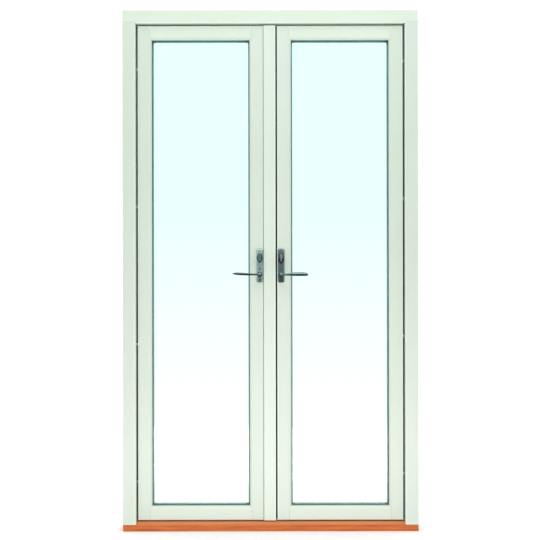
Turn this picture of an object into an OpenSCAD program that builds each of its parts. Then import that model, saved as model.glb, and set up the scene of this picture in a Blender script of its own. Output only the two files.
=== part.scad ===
// Outward-opening double balcony doors in their timber frame.
// X runs to the right and Z up as seen from the room, and Y runs outward.
// The origin is at the bottom of the threshold, midway along it, on the room face.

/* [Frame] */
// Overall width of the frame
frame_w = 1180; // [980:10:1500]
// Overall height of the frame
frame_h = 2080; // [1730:10:2500]
// Depth of the frame from room face to outer face
frame_d = 105; // [105:1:126]
// Width of the jamb across its stop
jamb_w = 52; // [50:1:64]
// Depth of the stop behind the room face
stop_d = 55; // [50:1:62]
// How far the rebate is cut back behind the stop
rebate = 12; // [12:1:13]
// Rounding of the frame's inner edges
frame_round = 6; // [3:0.5:8]

/* [Threshold] */
// Height of the threshold under the jambs
sill_h = 26; // [24:1:30]
// Height of the threshold's stop between the jambs
sill_stop_h = 34; // [34:1:36]
// Height of the threshold under the leaves' outer lip
sill_floor_h = 22; // [21:1:24]

/* [Leaves] */
// Visible width of stiles and rails
member_w = 56; // [52:1:70]
// Thickness of a leaf
leaf_t = 68; // [66:1:76]
// Setback of the leaves behind the frame's room face
setback = 27; // [22:0.5:33]
// Gap between a leaf's inner part and the frame
gap_in = 6; // [5:0.5:7]
// Gap between a leaf's outer lip and the frame
gap_out = 4; // [3.5:0.5:5]
// Room for the seal between the stop and a leaf's outer lip
seal_gap = 4; // [3:0.5:5]
// Width of the moulded bevel next to the glass
bevel_w = 8; // [5:1:10]
// Rounding of the leaves' edges
leaf_round = 3; // [1:0.5:4]

/* [Glazing] */
// Thickness of each pane
pane_t = 4; // [3:1:6]
// Space between the panes
pane_gap = 16; // [12:1:16]
// Depth of the glazing rebate
glass_rebate = 13; // [11:1:16]

/* [Centre post] */
// Reach of the post over the right leaf's side of the middle
post_right = 21; // [20:0.5:22]
// Reach of the post over the left leaf's side of the middle
post_left = 27; // [27:0.5:32]
// How far the post stands in front of the leaves
post_proud = 5; // [2:1:10]

/* [Hinges] */
// Number of hinges on each leaf
hinge_n = 4; // [2:1:5]
// Height of the lowest left hinge
hinge_z_left = 192; // [170:1:210]
// Height of the lowest right hinge
hinge_z_right = 224; // [170:1:240]
// Height of a hinge
hinge_h = 90; // [70:1:100]
// Radius of the knuckles
knuckle_r = 7; // [6.5:0.1:8]
// Radius of the hinge pins
pin_r = 4; // [3:0.1:4.5]
// Radial clearance of a turning fit
turn_fit = 0.05; // [0.03:0.01:0.08]
// Radius of the dog bolts
dog_r = 7; // [5:0.5:8]

/* [Handles] */
// Height of the levers
lever_z = 1025; // [850:1:1060]
// Distance of the levers from the middle of the doors
lever_x = 43; // [41:0.5:45]
// Length of a lever from its axis
lever_l = 108; // [90:1:125]
// Width of a handle plate
plate_w = 25; // [24:0.5:30]
// Height of a handle plate above the lever's axis
plate_up = 101.5; // [95:0.5:120]
// Height of a handle plate below the lever's axis
plate_down = 32; // [28:0.5:40]
// Thickness of a handle plate
plate_t = 8; // [6:0.5:10]
// Height of the thumb turn above the lever's axis
turn_up = 67; // [60:1:75]
// Travel of the shoot bolts
rod_travel = 20; // [14:1:20]

/* [Hidden] */
$fn = 96;

paint = [0.86, 0.92, 0.86];
hardwood = [0.78, 0.45, 0.28];
rubber = [0.2, 0.22, 0.2];
satin = [0.45, 0.52, 0.53];
zinc = [0.66, 0.7, 0.68];
glass = [0.9, 0.98, 0.97, 0.5];

e = 0.01;
big = 4000;

// frame planes
x_out = frame_w / 2;             // outside of the jamb
x_stop = x_out - jamb_w;         // inner face of the stop
x_reb = x_stop + rebate;         // rebate face
z_seat = sill_h;                 // the jamb's foot
z_stop = frame_h - jamb_w;       // underside of the head's stop
z_seam = z_stop + frame_round;   // joint of head and jamb
z_reb = z_stop + rebate;         // rebate face of the head

// leaf planes, for the right leaf
y_leaf = setback;                // room face of a leaf
y_lip = stop_d + seal_gap;       // inner face of the outer lip
y_back = y_leaf + leaf_t;        // outer face of a leaf
x_edge = x_stop - gap_in;        // visible hinge edge
x_lip = x_reb - gap_out;         // hinge edge of the outer lip
x_mid = post_right + gap_in;     // visible meeting edge
lap = 14;                        // width of the outer lip
x_mlip = x_mid - lap;            // meeting edge of the outer lip
z_low = sill_stop_h + gap_in;    // visible bottom edge
z_low_lip = sill_floor_h + gap_out;
z_top = z_stop - gap_in + 1;     // visible top edge
z_top_lip = z_reb - gap_out;

// glazing planes
gasket_t = 3;
y_sight = y_leaf + 24;           // back of the inner lip
y_pane1 = y_sight + gasket_t;
y_pane2 = y_pane1 + pane_t + pane_gap;
y_bead = y_pane2 + pane_t + gasket_t;
sight = [x_mid + member_w, x_edge - member_w, z_low + member_w, z_top - member_w];
wall = [sight[0] - glass_rebate, sight[1] + glass_rebate, sight[2] - glass_rebate, sight[3] + glass_rebate];
glass_gap = 4;
glass_box = [wall[0] + glass_gap, wall[1] - glass_gap, wall[2] + glass_gap, wall[3] - glass_gap];

// hinges
x_pin = x_reb - gap_out / 2;
y_pin = frame_d + knuckle_r + 0.5;
flag_t = 2.5;
y_flag = y_back - 29;
knuckle_gap = 0.25;              // half the gap between the two knuckles
hinge_pitch = (frame_h - 424) / (hinge_n - 1);
dog_y = (y_leaf + stop_d) / 2 - 1;
dog_reach = gap_in + 8;
left_hinges = [for (i = [0:hinge_n - 1]) hinge_z_left + i * hinge_pitch];
right_hinges = [for (i = [0:hinge_n - 1]) hinge_z_right + i * hinge_pitch];

// lock
y_lock = y_back - 15;
face_w = 16;
face_t = 3;
case_w = lever_x - x_mlip - face_t + 17;
case_t = 14;
case_up = turn_up + 30;
case_down = 85;
rod_r = 5;
slip = 0.2;                      // clearance behind the lever and the turn
rod_x = x_mlip + 11;
neck_r = 8;
stem_r = 5;
hub_r = 9;
bar = 8;

// heights at these shares of a leaf
function spread(shares) = [for (f = shares) z_low_lip + f * (z_top_lip - z_low_lip)];

// fixings through the jambs
fix_r = 7;
fix_z = [100, 550, frame_h - 570, frame_h - 120];
y_fix = (stop_d + frame_d) / 2 - 3;

module box(x0, x1, y0, y1, z0, z1) {
    translate([x0, y0, z0]) cube([x1 - x0, y1 - y0, z1 - z0]);
}

// a cylinder along Y from y0 to y1
module y_rod(r, x, z, y0, y1) {
    translate([x, y1, z]) rotate([90, 0, 0]) cylinder(r = r, h = y1 - y0);
}

// a cylinder along X from x0 to x1
module x_rod(r, y, z, x0, x1) {
    translate([x0, y, z]) rotate([0, 90, 0]) cylinder(r = r, h = x1 - x0);
}

module z_rod(r, x, y, z0, z1) {
    translate([x, y, z0]) cylinder(r = r, h = z1 - z0);
}

// what a rounded edge takes away from a square corner at the origin
module corner(r) {
    difference() {
        translate([-1, -1]) square(r + 1);
        translate([r, r]) circle(r);
    }
}

// an outline in Y and Z, drawn along X from x0 to x1
module along_x(x0, x1) {
    translate([x0, 0, 0]) rotate([90, 0, 90]) linear_extrude(x1 - x0) children();
}

// an outline in X and Z, drawn along Y from y0 to y1
module along_y(y0, y1) {
    translate([0, y1, 0]) rotate([90, 0, 0]) linear_extrude(y1 - y0) children();
}

module along_z(z0, z1) {
    translate([0, 0, z0]) linear_extrude(z1 - z0) children();
}

// a countersunk screw pointing along +Y, its head flush with the origin
module screw(l, r = 2, head_r = 4) {
    rotate([-90, 0, 0]) rotate_extrude()
        polygon([[0, 0.4], [head_r * 0.35, 0], [head_r, 0], [r, head_r - r], [r, l - 2 * r], [0, l]]);
}

// the countersunk hole for such a screw
module screw_hole(l, r = 2, head_r = 4) {
    rotate([-90, 0, 0]) rotate_extrude()
        polygon([[0, -1], [head_r, -1], [head_r, 0], [r, head_r - r], [r, l - 2 * r], [0, l]]);
}

module ring(b, w_out, w_in, y0, y1) {
    along_y(y0, y1) difference() {
        translate([b[0] - w_out, b[2] - w_out])
            square([b[1] - b[0] + 2 * w_out, b[3] - b[2] + 2 * w_out]);
        translate([b[0] + w_in, b[2] + w_in])
            square([b[1] - b[0] - 2 * w_in, b[3] - b[2] - 2 * w_in]);
    }
}

// ---------------------------------------------------------------- frame

seal_w = 8;
seal_clear = 0.3;
seal_box = [-x_stop - rebate / 2, x_stop + rebate / 2, sill_stop_h - rebate / 2, z_stop + rebate / 2];

module seal_root(w, d) {
    ring(seal_box, w / 2, w / 2, stop_d - d, stop_d + e);
}

// the fine V along the joint of head and jamb, front and back
vee = 1.1;
module seam_vee() {
    for (y = [0, frame_d]) translate([y ? x_reb : x_stop + frame_round, y, z_seam]) rotate([45, 0, 0])
        translate([0, -vee / 2, -vee / 2]) cube([jamb_w, vee, vee]);
}

module jamb(hinges) {
    difference() {
        along_z(z_seat, z_seam) difference() {
            union() {
                translate([x_stop, 0]) square([jamb_w, stop_d]);
                translate([x_reb, 0]) square([x_out - x_reb, frame_d]);
            }
            translate([x_stop, 0]) corner(frame_round);
            translate([x_out, 0]) mirror([1, 0]) corner(2);
        }
        // the outer part goes down to the threshold's floor, the head's arris is mitred
        along_y(-1, stop_d + 1) polygon([[x_stop - 1, z_stop - 1], [x_stop + frame_round, z_seam],
            [x_stop + frame_round, z_seam + 1], [x_stop - 1, z_seam + 1]]);
        seam_vee();
        for (z = fix_z) x_rod(fix_r, y_fix, z, x_reb - 1, x_out + 1);
        for (z = hinges) {
            x_rod(dog_r + 1.5, dog_y, z, x_stop - 1, x_stop + 12);
            box(x_reb - 1, x_reb + flag_t, y_flag, frame_d + 1, z - hinge_h / 2, z + hinge_h / 2);
            for (s = [-1, 1]) translate([x_reb, y_flag + 12, z + s * 28])
                rotate([0, 0, -90]) screw_hole(30);
        }
        seal_root(3, 5);
    }
}

module jamb_right() { color(paint) jamb(right_hinges); }
module jamb_left() { color(paint) mirror([1, 0, 0]) jamb(left_hinges); }

module head() {
    color(paint) difference() {
        union() {
            along_x(-x_out, x_out) difference() {
                translate([0, z_seam]) square([frame_d, frame_h - z_seam]);
                translate([0, frame_h]) mirror([0, 1]) corner(2);
            }
            difference() {
                along_x(-x_stop - frame_round, x_stop + frame_round) difference() {
                    translate([0, z_stop]) square([stop_d, frame_round + 1]);
                    translate([0, z_stop]) corner(frame_round);
                }
                for (s = [0, 1]) mirror([s, 0, 0]) along_y(-1, stop_d + 1)
                    polygon([[x_stop, z_stop], [x_stop + frame_round, z_seam],
                        [x_stop + frame_round + 1, z_seam], [x_stop + frame_round + 1, z_stop - 1],
                        [x_stop, z_stop - 1]]);
            }
        }
        box(-x_reb, x_reb, stop_d, frame_d + 1, z_stop - 1, z_reb);
        for (s = [0, 1]) mirror([s, 0, 0]) seam_vee();
        for (s = [-1, 1]) {
            z_rod(rod_r + 0.6, s * rod_x, y_lock, z_reb - 1, z_reb + rod_travel + 2);
            box(s * rod_x - 20, s * rod_x + 20, y_lock - 10, y_lock + 10, z_reb - 1, z_reb + 2);
        }
        seal_root(3, 5);
    }
}

module threshold() {
    color(hardwood) difference() {
        union() {
            box(-x_out, x_out, 0, stop_d, 0, sill_h);
            along_x(-x_stop, x_stop) difference() {
                polygon([[0, 0], [0, sill_h], [setback, sill_stop_h], [stop_d, sill_stop_h], [stop_d, 0]]);
            }
            along_x(-x_out, x_out)
                polygon([[stop_d, 0], [stop_d, sill_floor_h], [frame_d - 8, sill_floor_h],
                    [frame_d, sill_floor_h - 5], [frame_d, 0]]);
            for (s = [0, 1]) mirror([s, 0, 0]) box(x_reb, x_out, stop_d, frame_d, 0, sill_h);
        }
        // rounded front edge between the jambs
        along_x(-x_stop, x_stop) translate([0, sill_h]) mirror([0, 1]) corner(4);
        // drip groove under the outer edge
        along_x(-x_out - 1, x_out + 1) translate([frame_d - 9, 0]) circle(2.5);
        for (s = [-1, 1]) {
            z_rod(rod_r + 0.6, s * rod_x, y_lock, sill_floor_h - rod_travel, sill_floor_h + 1);
            box(s * rod_x - 20, s * rod_x + 20, y_lock - 10, y_lock + 10, sill_floor_h - 2, sill_floor_h + 1);
        }
        seal_root(3, 5);
    }
}

module frame_seal() {
    color(rubber) {
        ring(seal_box, seal_w / 2, seal_w / 2, stop_d, y_lip - seal_clear);
        seal_root(3, 4.5);
    }
}

module strike_plate(z0) {
    difference() {
        box(rod_x - 20, rod_x + 20, y_lock - 10, y_lock + 10, z0, z0 + 2);
        z_rod(rod_r + 0.6, rod_x, y_lock, z0 - 1, z0 + 3);
    }
}

module strike_plates() {
    color(zinc) for (s = [0, 1]) mirror([s, 0, 0]) {
        strike_plate(z_reb);
        strike_plate(sill_floor_h - 2);
    }
}

// ---------------------------------------------------------------- hinges

module frame_flag() {
    difference() {
        union() {
            box(x_reb, x_reb + flag_t, y_flag, frame_d, -hinge_h / 2, hinge_h / 2);
            box(x_reb, x_reb + flag_t, y_flag, y_pin, -hinge_h / 2, -knuckle_gap);
            z_rod(knuckle_r, x_pin, y_pin, -hinge_h / 2, -knuckle_gap);
        }
        z_rod(pin_r + e, x_pin, y_pin, -hinge_h / 2 - 1, 0);
        for (s = [-1, 1]) translate([x_reb, y_flag + 12, s * 28]) rotate([0, 0, -90]) screw_hole(30);
    }
}

module leaf_flag() {
    difference() {
        union() {
            box(x_lip - flag_t, x_lip, y_flag, y_back, -hinge_h / 2, hinge_h / 2);
            box(x_lip - flag_t, x_lip, y_flag, y_pin, knuckle_gap, hinge_h / 2);
            z_rod(knuckle_r, x_pin, y_pin, knuckle_gap, hinge_h / 2);
        }
        z_rod(pin_r + turn_fit, x_pin, y_pin, 0, hinge_h / 2 + 1);
        for (s = [-1, 1]) translate([x_lip, y_flag + 12, s * 28]) rotate([0, 0, 90]) screw_hole(30);
    }
}

module hinge_pin() {
    cap = 4;
    translate([x_pin, y_pin, 0]) rotate_extrude() polygon([
        [0, -hinge_h / 2 - cap], [knuckle_r - 2, -hinge_h / 2 - cap], [knuckle_r, -hinge_h / 2 - cap + 2],
        [knuckle_r, -hinge_h / 2], [pin_r, -hinge_h / 2], [pin_r, hinge_h / 2 + 0.3],
        [knuckle_r, hinge_h / 2 + 0.3], [knuckle_r, hinge_h / 2 + cap - 2],
        [knuckle_r - 2, hinge_h / 2 + cap], [0, hinge_h / 2 + cap]]);
}

module at_hinges(left) {
    for (z = left ? left_hinges : right_hinges)
        mirror([left ? 1 : 0, 0, 0]) translate([0, 0, z]) children();
}

module frame_hinge_flags() { color(zinc) { at_hinges(true) frame_flag(); at_hinges(false) frame_flag(); } }
module hinge_pins() { color(zinc) { at_hinges(true) hinge_pin(); at_hinges(false) hinge_pin(); } }
module frame_screws() {
    for (s = [-1, 1]) translate([x_reb, y_flag + 12, s * 28]) rotate([0, 0, -90]) screw(30);
}
module frame_hinge_screws() { color(zinc) { at_hinges(true) frame_screws(); at_hinges(false) frame_screws(); } }
module flag_screws() {
    for (s = [-1, 1]) translate([x_lip, y_flag + 12, s * 28]) rotate([0, 0, 90]) screw(30);
}

// ---------------------------------------------------------------- a leaf

// the hinge stile's outline; the lip lies at its outer edge
module stile_outline(edge, lip, s_in, s_wall) {
    d = edge > s_in ? 1 : -1;
    difference() {
        union() {
            polygon([[edge, y_leaf], [s_in + d * bevel_w, y_leaf], [s_in, y_leaf + 6], [s_in, y_sight],
                [s_wall, y_sight], [s_wall, y_lip], [edge, y_lip]]);
            polygon([[lip, y_lip], [s_wall, y_lip], [s_wall, y_back], [lip, y_back]]);
        }
        translate([edge, y_leaf]) mirror([d > 0 ? 1 : 0, 0]) corner(leaf_round);
        translate([lip, y_back]) rotate(180) mirror([d > 0 ? 0 : 1, 0]) corner(2);
    }
}

// the fine V along each joint of stile and rail, front and back
module leaf_vees() {
    for (q = [[sight[0] - bevel_w, sight[1] + bevel_w, y_leaf, sight[2] - bevel_w, sight[3] + bevel_w],
        [wall[0], wall[1], y_back, wall[2], wall[3]]])
        for (x = [q[0], q[1]], t = [0, 1]) translate([x, q[2], t ? q[4] : q[3] - member_w]) rotate([0, 0, 45])
            translate([-vee / 2, -vee / 2, 0]) cube([vee, vee, member_w]);
}

// the stile's moulding is mitred where the rails meet it
module stile(edge, lip, s_in, s_wall) {
    d = edge > s_in ? 1 : -1;
    difference() {
        along_z(z_low_lip, z_top_lip) stile_outline(edge, lip, s_in, s_wall);
        along_y(y_leaf - 1, y_sight + e) {
            polygon([[s_in - d * bevel_w, sight[3] - bevel_w], [s_in + d * bevel_w, sight[3] + bevel_w],
                [s_in + d * bevel_w, big], [s_in - d * bevel_w, big]]);
            polygon([[s_in - d * bevel_w, sight[2] + bevel_w], [s_in + d * bevel_w, sight[2] - bevel_w],
                [s_in + d * bevel_w, -big], [s_in - d * bevel_w, -big]]);
        }
        leaf_vees();
        // the lip stands past the leaf's inner part at top and bottom
        box(-big, big, y_leaf - 1, y_lip, z_top, big);
        box(-big, big, y_leaf - 1, y_lip, -big, z_low);
        for (t = [0, 1]) translate([0, y_leaf, t ? z_top : z_low]) rotate([90, 0, 90])
            translate([0, 0, -big]) linear_extrude(2 * big) mirror([0, t]) corner(leaf_round);
    }
}

module rail_outline(edge, lip, s_in, s_wall) {
    d = edge > s_in ? 1 : -1;
    difference() {
        union() {
            polygon([[y_leaf, edge], [y_leaf, s_in + d * bevel_w], [y_leaf + 6, s_in], [y_sight, s_in],
                [y_sight, s_wall], [y_lip, s_wall], [y_lip, edge]]);
            polygon([[y_lip, lip], [y_lip, s_wall], [y_back, s_wall], [y_back, lip]]);
        }
        translate([y_leaf, edge]) mirror([0, d > 0 ? 1 : 0]) corner(leaf_round);
        translate([y_back, lip]) rotate(180) mirror([0, d > 0 ? 0 : 1]) corner(2);
    }
}

module rail(edge, lip, s_in, s_wall) {
    d = edge > s_in ? 1 : -1;
    difference() {
        along_x(wall[0], wall[1]) rail_outline(edge, lip, s_in, s_wall);
        leaf_vees();
        // ends at the line where the stiles' mouldings begin, mitred along the moulding
        along_y(y_leaf - 1, y_sight) {
            for (q = [[sight[0], -1], [sight[1], 1]])
                polygon([[q[0] - q[1] * bevel_w, s_in - d * bevel_w], [q[0] + q[1] * bevel_w, s_in + d * bevel_w],
                    [q[0] + q[1] * bevel_w, d * big], [q[0] + q[1] * big, d * big], [q[0] + q[1] * big, s_in - d * bevel_w]]);
        }
    }
}

module meeting_bores() {
    // lock mortise, faceplate groove, rod bores and the handle's holes
    box(x_mlip + face_t, x_mlip + face_t + case_w, y_lock - case_t / 2, y_lock + case_t / 2,
        lever_z - case_down, lever_z + case_up);
    box(x_mlip - 1, x_mlip + face_t, y_lock - face_w / 2, y_lock + face_w / 2, z_low_lip - 1, big);
    z_rod(rod_r + 0.8, rod_x, y_lock, -big, big);
    y_rod(hub_r, lever_x, lever_z, y_leaf - 1, y_lock);
    y_rod(stem_r + 1, lever_x, lever_z + turn_up, y_leaf - 1, y_lock);
    plate_holes();
}

screw_up = [plate_up - 7, 22.6, -plate_down + 10];

module plate_screws() {
    for (z = screw_up) translate([lever_x, y_leaf - plate_t, lever_z + z]) screw(38, 2, 4.2);
}
module plate_holes() {
    for (z = screw_up) translate([lever_x, y_leaf - plate_t, lever_z + z]) screw_hole(38, 2, 4.2);
}

module meeting_stile() {
    difference() {
        stile(x_mid, x_mlip, sight[0], wall[0]);
        meeting_bores();
    }
}

module hinge_stile(hinges) {
    difference() {
        stile(x_edge, x_lip, sight[1], wall[1]);
        for (z = hinges) {
            box(x_lip - flag_t, x_lip + 1, y_flag, y_back + 1, z - hinge_h / 2, z + hinge_h / 2);
            x_rod(4, dog_y, z, x_edge - 22, x_edge + 1);
            for (s = [-1, 1]) translate([x_lip, y_flag + 12, z + s * 28]) rotate([0, 0, 90]) screw_hole(30);
        }
    }
}

module top_rail() { rail(z_top, z_top_lip, sight[3], wall[3]); }
module bottom_rail() { rail(z_low, z_low_lip, sight[2], wall[2]); }

module pane(y0) {
    box(glass_box[0], glass_box[1], y0, y0 + pane_t, glass_box[2], glass_box[3]);
}

module pane_spacer() {
    ring(glass_box, 0, 15, y_pane1 + pane_t, y_pane2);
}

module glazing_gaskets() {
    ring(sight, glass_rebate - glass_gap, 3, y_sight, y_pane1);
    ring(sight, glass_rebate - glass_gap, 3, y_bead - gasket_t, y_bead);
}

module setting_blocks() {
    for (x = [wall[0] + 70, wall[1] - 170])
        box(x, x + 100, y_pane1, y_pane2 + pane_t, wall[2], glass_box[2]);
}

// glazing beads: a wedge section with a rounded inner edge
bead_w = glass_rebate;
module bead_outline() {
    polygon([[0, 0], [bead_w, 0], [bead_w, 5], [bead_w - 5, y_back - y_bead], [0, y_back - y_bead]]);
}

module side_beads() {
    for (s = [0, 1]) difference() {
        along_z(wall[2], wall[3]) translate([s ? wall[1] : wall[0], y_bead]) mirror([s, 0]) bead_outline();
        for (t = [0, 1]) along_y(y_bead - 1, y_back + 1) {
            x = s ? wall[1] : wall[0];
            z = t ? wall[3] : wall[2];
            polygon([[x, z], [x + (s ? -1 : 1) * 40, z + (t ? -1 : 1) * 40], [x + (s ? -1 : 1) * 40, z + (t ? 1 : -1)],
                [x, z + (t ? 1 : -1)]]);
        }
    }
}

module end_beads() {
    for (t = [0, 1]) difference() {
        along_x(wall[0], wall[1]) translate([y_bead, t ? wall[3] : wall[2]]) mirror([0, t])
            polygon([[0, 0], [0, bead_w], [5, bead_w], [y_back - y_bead, bead_w - 5], [y_back - y_bead, 0]]);
        for (s = [0, 1]) along_y(y_bead - 1, y_back + 1) {
            x = s ? wall[1] : wall[0];
            z = t ? wall[3] : wall[2];
            polygon([[x, z], [x + (s ? -1 : 1) * 40, z + (t ? -1 : 1) * 40], [x + (s ? 1 : -1), z + (t ? -1 : 1) * 40],
                [x + (s ? 1 : -1), z]]);
        }
    }
}

module dog_bolts(hinges) {
    for (z = hinges) translate([x_edge, dog_y, z]) rotate([0, 90, 0]) rotate_extrude()
        polygon([[0, -22], [4, -22], [4, 0], [dog_r, 0], [dog_r, dog_reach - 2], [dog_r - 2, dog_reach], [0, dog_reach]]);
}

// ---------------------------------------------------------------- lock and handle

module faceplate() {
    difference() {
        box(x_mlip, x_mlip + face_t, y_lock - face_w / 2, y_lock + face_w / 2, z_low_lip + 2, z_top_lip - 2);
        for (z = spread([0.03, 0.2, 0.37, 0.63, 0.8, 0.97]))
            x_rod(1.8, y_lock, z, x_mlip - 1, x_mlip + face_t + 1);
    }
}

module lock_case() {
    difference() {
        box(x_mlip + face_t, x_mlip + face_t + case_w, y_lock - case_t / 2, y_lock + case_t / 2,
            lever_z - case_down, lever_z + case_up);
        // room for the follower and the turn's stem, and for the rods' ends
        y_rod(hub_r + turn_fit, lever_x, lever_z, y_lock - case_t, y_lock + case_t / 2 - 2);
        y_rod(stem_r + turn_fit, lever_x, lever_z + turn_up, y_lock - case_t, y_lock);
        z_rod(rod_r + 0.8, rod_x, y_lock, lever_z + case_up - 10 - rod_travel, big);
        z_rod(rod_r + 0.8, rod_x, y_lock, -big, lever_z - case_down + 10 + rod_travel);
    }
}

module spindle() {
    box(lever_x - bar / 2, lever_x + bar / 2, y_leaf - plate_t - 10, y_lock - case_t / 2 + e, lever_z - bar / 2, lever_z + bar / 2);
    y_rod(hub_r, lever_x, lever_z, y_lock - case_t / 2, y_lock + case_t / 2 - 3);
}

// the lever: a round neck on the spindle and a tapered round grip
boss_r = 10.5;
grip_y = -28;
module lever() {
    y_face = y_leaf - plate_t;
    difference() {
        union() {
            translate([lever_x, y_leaf - 1, lever_z]) rotate([90, 0, 0]) rotate_extrude()
                polygon([[0, 0], [neck_r, 0], [neck_r, plate_t - 1 + slip], [boss_r, plate_t - 1 + slip], [boss_r, plate_t + 6],
                    [boss_r - 1.5, plate_t + 8], [7.5, plate_t + 11], [6.5, y_leaf - grip_y + 4], [5, y_leaf - grip_y + 6],
                    [0, y_leaf - grip_y + 6]]);
            translate([lever_x, grip_y, lever_z]) rotate([0, 90, 0]) rotate_extrude()
                polygon([[0, 0], [4, 0], [4, 12], [5.4, 20], [6.6, 32], [7.2, 50], [6.9, 80], [6, lever_l - 6],
                    [4.6, lever_l - 2], [2.6, lever_l], [0, lever_l]]);
        }
        box(lever_x - bar / 2, lever_x + bar / 2, y_face - 10, big, lever_z - bar / 2, lever_z + bar / 2);
    }
}

// the thumb turn: an oval button with a raised ridge
turn_w = 24;
turn_h = 40;
module thumb_turn() {
    y_face = y_leaf - plate_t;
    translate([lever_x, 0, lever_z + turn_up]) {
        along_y(y_face - 7, y_face - slip) stadium(turn_w, turn_h);
        along_y(y_face - 18, y_face - 7) stadium(10, turn_h - 5);
        y_rod(stem_r, 0, 0, y_face - slip - e, y_lock - 1);
    }
}

module stadium(w, h) {
    square([w, h - w], center = true);
    for (s = [-1, 1]) translate([0, s * (h - w) / 2]) circle(w / 2);
}

module handle_plate() {
    r = 8;
    difference() {
        along_y(y_leaf - plate_t, y_leaf) difference() {
            translate([lever_x - plate_w / 2, lever_z - plate_down]) square([plate_w, plate_up + plate_down]);
            for (i = [0, 1], j = [0, 1])
                translate([lever_x + (i ? 1 : -1) * plate_w / 2, j ? lever_z + plate_up : lever_z - plate_down])
                    mirror([i, 0]) mirror([0, j]) corner(r);
        }
        y_rod(neck_r + turn_fit, lever_x, lever_z, y_leaf - plate_t - 1, y_leaf + 1);
        y_rod(stem_r + turn_fit, lever_x, lever_z + turn_up, y_leaf - plate_t - 1, y_leaf + 1);
        plate_holes();
    }
}

module upper_rod() {
    z_rod(rod_r, rod_x, y_lock, lever_z + case_up - 10 - rod_travel + 0.5, z_top_lip - 1);
}
module lower_rod() {
    z_rod(rod_r, rod_x, y_lock, z_low_lip + 1, lever_z - case_down + 10 + rod_travel - 0.5);
}

// ---------------------------------------------------------------- centre post

module centre_post() {
    color(paint) difference() {
        along_z(z_low - 1, z_top) difference() {
            union() {
                translate([-post_left, y_leaf - post_proud])
                    square([post_left + post_right, stop_d - y_leaf + post_proud]);
                translate([-post_left, stop_d - 1]) square([post_left - x_mlip, y_lip - stop_d + 1]);
                translate([-x_mlip, stop_d - 1]) square([2 * x_mlip - gap_out, y_back - stop_d + 1]);
            }
            translate([-post_left, y_leaf - post_proud]) corner(leaf_round);
            translate([post_right, y_leaf - post_proud]) mirror([1, 0]) corner(leaf_round);
        }
        for (z = post_screw_z) translate([x_mlip - gap_out, y_lip + 6, z]) rotate([0, 0, 90]) screw_hole(50, 2, 4);
        box(post_right - 5.5, post_right - 2.5, stop_d - 4, stop_d + 1, -big, big);
    }
}

post_screw_z = spread([0.045, 0.22, 0.4, 0.61, 0.79, 0.955]);
module post_screws() {
    color(zinc) for (z = post_screw_z) translate([x_mlip - gap_out, y_lip + 6, z])
        rotate([0, 0, 90]) screw(50, 2, 4);
}

module post_seal() {
    color(rubber) {
        box(post_right - 7, post_right - 1, stop_d, y_lip - seal_clear, z_low - 1, z_top);
        box(post_right - 5.5, post_right - 2.5, stop_d - 4, stop_d + e, z_low - 1, z_top);
    }
}

// ---------------------------------------------------------------- the two leaves

module flip(left) { mirror([left ? 1 : 0, 0, 0]) children(); }

module left_hinge_stile() { color(paint) flip(true) hinge_stile(left_hinges); }
module left_meeting_stile() {
    color(paint) difference() {
        flip(true) meeting_stile();
        for (z = post_screw_z) translate([x_mlip - gap_out, y_lip + 6, z]) rotate([0, 0, 90]) screw_hole(50, 2, 4);
    }
}
module left_top_rail() { color(paint) flip(true) top_rail(); }
module left_bottom_rail() { color(paint) flip(true) bottom_rail(); }
module left_inner_pane() { color(glass) flip(true) pane(y_pane1); }
module left_outer_pane() { color(glass) flip(true) pane(y_pane2); }
module left_pane_spacer() { color(rubber) flip(true) pane_spacer(); }
module left_glazing_gaskets() { color(rubber) flip(true) glazing_gaskets(); }
module left_setting_blocks() { color(rubber) flip(true) setting_blocks(); }
module left_side_beads() { color(paint) flip(true) side_beads(); }
module left_end_beads() { color(paint) flip(true) end_beads(); }
module left_hinge_flags() { color(zinc) at_hinges(true) leaf_flag(); }
module left_hinge_screws() { color(zinc) at_hinges(true) flag_screws(); }
module left_dog_bolts() { color(zinc) flip(true) dog_bolts(left_hinges); }
module left_faceplate() { color(zinc) flip(true) faceplate(); }
module left_lock_case() { color(zinc) flip(true) lock_case(); }
module left_spindle() { color(zinc) flip(true) spindle(); }
module left_lever() { color(satin) flip(true) lever(); }
module left_thumb_turn() { color(satin) flip(true) thumb_turn(); }
module left_handle_plate() { color(satin) flip(true) handle_plate(); }
module left_handle_screws() { color(zinc) flip(true) plate_screws(); }
module left_upper_rod() { color(zinc) flip(true) upper_rod(); }
module left_lower_rod() { color(zinc) flip(true) lower_rod(); }

module right_hinge_stile() { color(paint) hinge_stile(right_hinges); }
module right_meeting_stile() { color(paint) meeting_stile(); }
module right_top_rail() { color(paint) top_rail(); }
module right_bottom_rail() { color(paint) bottom_rail(); }
module right_inner_pane() { color(glass) pane(y_pane1); }
module right_outer_pane() { color(glass) pane(y_pane2); }
module right_pane_spacer() { color(rubber) pane_spacer(); }
module right_glazing_gaskets() { color(rubber) glazing_gaskets(); }
module right_setting_blocks() { color(rubber) setting_blocks(); }
module right_side_beads() { color(paint) side_beads(); }
module right_end_beads() { color(paint) end_beads(); }
module right_hinge_flags() { color(zinc) at_hinges(false) leaf_flag(); }
module right_hinge_screws() { color(zinc) at_hinges(false) flag_screws(); }
module right_dog_bolts() { color(zinc) dog_bolts(right_hinges); }
module right_faceplate() { color(zinc) faceplate(); }
module right_lock_case() { color(zinc) lock_case(); }
module right_spindle() { color(zinc) spindle(); }
module right_lever() { color(satin) lever(); }
module right_thumb_turn() { color(satin) thumb_turn(); }
module right_handle_plate() { color(satin) handle_plate(); }
module right_handle_screws() { color(zinc) plate_screws(); }
module right_upper_rod() { color(zinc) upper_rod(); }
module right_lower_rod() { color(zinc) lower_rod(); }

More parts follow.
